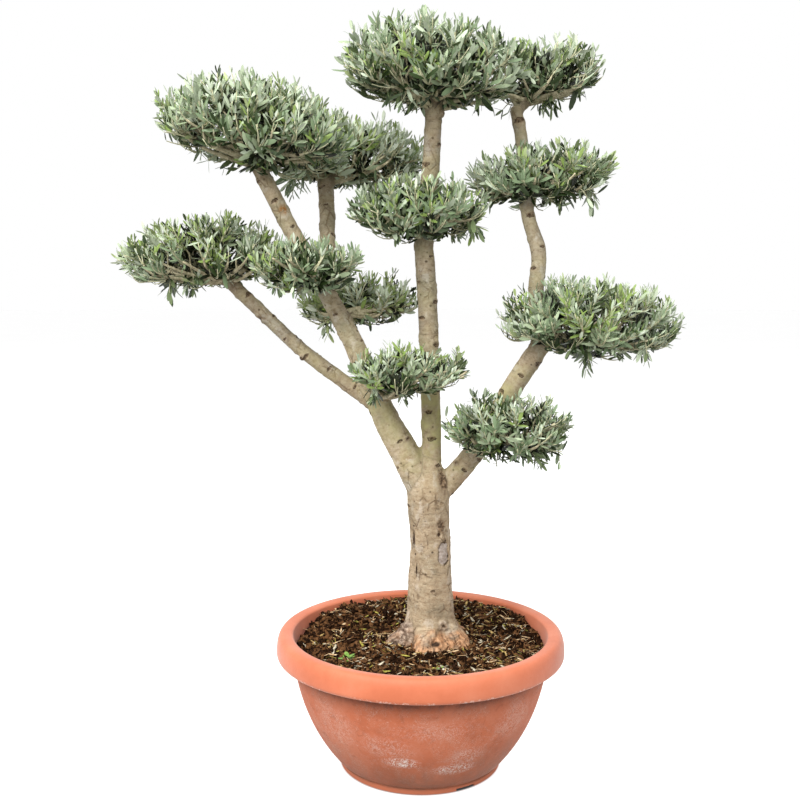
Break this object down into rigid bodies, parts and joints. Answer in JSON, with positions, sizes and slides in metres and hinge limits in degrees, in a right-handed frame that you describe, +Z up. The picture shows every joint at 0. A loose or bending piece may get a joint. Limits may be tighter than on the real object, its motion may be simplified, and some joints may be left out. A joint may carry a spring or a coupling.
{
  "type": "potted olive bonsai",
  "caption": "Olive tree pruned into flat foliage clouds on bare forked boughs above a short flared trunk, in a round terracotta-coloured bowl of soil.",
  "frame": {"origin": "middle of the bowl's flat underside, on the ground", "axes": "+Z up, +X to the viewer's right in the picture, -Y towards the viewer"},
  "size_m": [1.1539, 0.6, 1.5334],
  "materials": {
    "bowl": "satin terracotta colour, duller below the rim",
    "soil": "dark crumbly potting soil",
    "bark": "grey-beige bark, matte",
    "foliage": "grey-green leaves, silvery underneath"
  },
  "bodies": {
    "root": {"bowl": "bowl", "soil": "soil", "trunk": "bark", "leader": "bark", "bough_left": "bark", "bough_left_low": "bark", "bough_left_rear": "bark", "bough_right": "bark", "bough_right_upper": "bark", "foliage_top": "foliage", "foliage_top_right": "foliage", "foliage_right_upper": "foliage", "foliage_right_middle": "foliage", "foliage_right_low": "foliage", "foliage_centre": "foliage", "foliage_left_upper": "foliage", "foliage_left_rear": "foliage", "foliage_left_end": "foliage", "foliage_left_middle": "foliage", "foliage_rear_middle": "foliage", "foliage_front_low": "foliage"}
  },
  "joints": []
}
